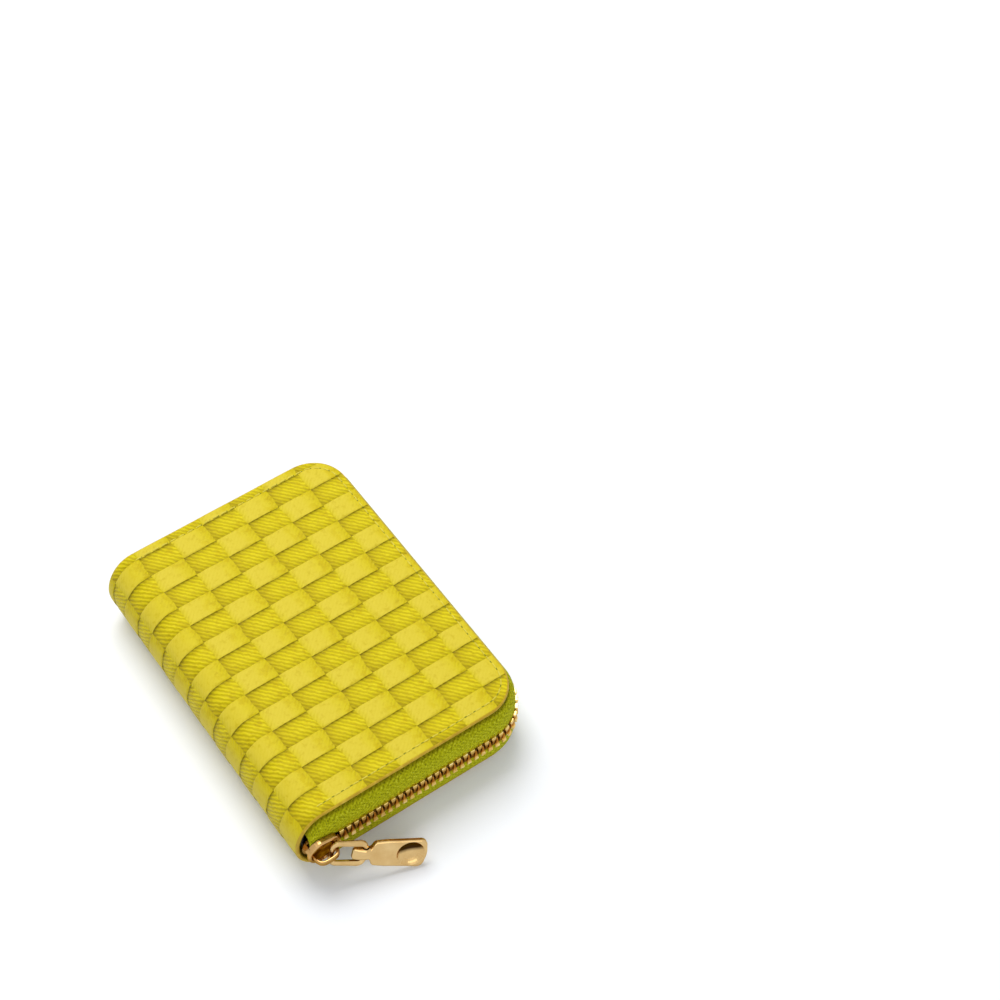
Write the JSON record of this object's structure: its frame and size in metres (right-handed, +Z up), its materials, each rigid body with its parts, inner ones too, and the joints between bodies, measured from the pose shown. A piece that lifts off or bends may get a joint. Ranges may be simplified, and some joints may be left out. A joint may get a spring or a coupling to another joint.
{
  "type": "zip-around card holder",
  "caption": "Slim zip-around leather card holder: two padded covers, a soft spine, a metal zip with a swinging pull, and an accordion of card pockets.",
  "frame": {"origin": "on the surface that the closed holder lies on, under the middle of the bottom cover", "axes": "+X towards the short end where the slider rests, +Y from the spine to the mouth, +Z up through the covers"},
  "size_m": [0.1306, 0.0826, 0.026],
  "materials": {
    "leather": "woven embossed, semi-gloss",
    "board": "raw pulp board",
    "lining": "dark brown nylon cloth",
    "gusset": "ribbed dark cloth",
    "tape": "woven lime zip tape",
    "teeth": "polished",
    "gold_metal": "light gold plating, polished"
  },
  "bodies": {
    "bottom_cover": {"bottom_leather": "leather", "bottom_board": "board", "bottom_lining": "lining", "lower_zip_tape": "tape", "lower_zip_teeth": "teeth", "lower_zip_stop": "teeth", "spine_leather": "leather", "spine_lining": "lining", "near_gusset": "gusset", "far_gusset": "gusset", "accordion_floor": "gusset"},
    "top_cover": {"top_leather": "leather", "top_board": "board", "top_lining": "lining", "upper_zip_tape": "tape", "upper_zip_teeth": "teeth", "upper_zip_stop": "teeth"},
    "leaf_01": {"pocket_leaf_01": "lining"},
    "leaf_02": {"pocket_leaf_02": "lining"},
    "leaf_03": {"pocket_leaf_03": "lining"},
    "leaf_04": {"pocket_leaf_04": "lining"},
    "leaf_05": {"pocket_leaf_05": "lining"},
    "leaf_06": {"pocket_leaf_06": "lining"},
    "leaf_07": {"pocket_leaf_07": "lining"},
    "leaf_08": {"pocket_leaf_08": "lining"},
    "leaf_09": {"pocket_leaf_09": "lining"},
    "leaf_10": {"pocket_leaf_10": "lining"},
    "zip_slider": {"zip_slider": "gold_metal"},
    "pull_link": {"pull_link": "gold_metal"},
    "pull_tab": {"pull_tab": "gold_metal"}
  },
  "joints": [
    {"name": "cover_open", "type": "hinge", "parent": "bottom_cover", "child": "top_cover", "pos_m": [0, -0.04, 0.013], "axis": [1, 0, 0], "range_deg": [0, 85], "deforming": ["spine_leather", "spine_lining", "near_gusset", "far_gusset", "accordion_floor"]},
    {"name": "fan_01", "type": "hinge", "parent": "bottom_cover", "child": "leaf_01", "pos_m": [0, -0.04, 0.013], "axis": [1, 0, 0], "range_deg": [0, 7.07]},
    {"name": "fan_02", "type": "hinge", "parent": "bottom_cover", "child": "leaf_02", "pos_m": [0, -0.04, 0.013], "axis": [1, 0, 0], "range_deg": [0, 13.18]},
    {"name": "fan_03", "type": "hinge", "parent": "bottom_cover", "child": "leaf_03", "pos_m": [0, -0.04, 0.013], "axis": [1, 0, 0], "range_deg": [0, 20.62]},
    {"name": "fan_04", "type": "hinge", "parent": "bottom_cover", "child": "leaf_04", "pos_m": [0, -0.04, 0.013], "axis": [1, 0, 0], "range_deg": [0, 29]},
    {"name": "fan_05", "type": "hinge", "parent": "bottom_cover", "child": "leaf_05", "pos_m": [0, -0.04, 0.013], "axis": [1, 0, 0], "range_deg": [0, 37.95]},
    {"name": "fan_06", "type": "hinge", "parent": "bottom_cover", "child": "leaf_06", "pos_m": [0, -0.04, 0.013], "axis": [1, 0, 0], "range_deg": [0, 47.07]},
    {"name": "fan_07", "type": "hinge", "parent": "bottom_cover", "child": "leaf_07", "pos_m": [0, -0.04, 0.013], "axis": [1, 0, 0], "range_deg": [0, 56.02]},
    {"name": "fan_08", "type": "hinge", "parent": "bottom_cover", "child": "leaf_08", "pos_m": [0, -0.04, 0.013], "axis": [1, 0, 0], "range_deg": [0, 64.4]},
    {"name": "fan_09", "type": "hinge", "parent": "bottom_cover", "child": "leaf_09", "pos_m": [0, -0.04, 0.013], "axis": [1, 0, 0], "range_deg": [0, 71.84]},
    {"name": "fan_10", "type": "hinge", "parent": "bottom_cover", "child": "leaf_10", "pos_m": [0, -0.04, 0.013], "axis": [1, 0, 0], "range_deg": [0, 77.96]},
    {"name": "zip_slide", "type": "slide", "parent": "bottom_cover", "child": "zip_slider", "axis": [0, 1, 0], "range_m": [0, 0.052], "deforming": ["lower_zip_teeth", "upper_zip_teeth"]},
    {"name": "link_swing", "type": "hinge", "parent": "zip_slider", "child": "pull_link", "pos_m": [0.06062, -0.0316, 0.013], "axis": [-0.2227, 0.413, 0.8831], "range_deg": [-120, 15]},
    {"name": "tab_swing", "type": "hinge", "parent": "pull_link", "child": "pull_tab", "pos_m": [0.06449, -0.02301, 0.00996], "axis": [-0.2227, 0.413, 0.8831], "range_deg": [-45, 15]}
  ],
  "couplings": [
    {"joint": "fan_01", "follows": "cover_open", "ratio": 0.083},
    {"joint": "fan_02", "follows": "cover_open", "ratio": 0.1549},
    {"joint": "fan_03", "follows": "cover_open", "ratio": 0.2425},
    {"joint": "fan_04", "follows": "cover_open", "ratio": 0.341},
    {"joint": "fan_05", "follows": "cover_open", "ratio": 0.4463},
    {"joint": "fan_06", "follows": "cover_open", "ratio": 0.5537},
    {"joint": "fan_07", "follows": "cover_open", "ratio": 0.659},
    {"joint": "fan_08", "follows": "cover_open", "ratio": 0.7575},
    {"joint": "fan_09", "follows": "cover_open", "ratio": 0.8451},
    {"joint": "fan_10", "follows": "cover_open", "ratio": 0.917}
  ]
}
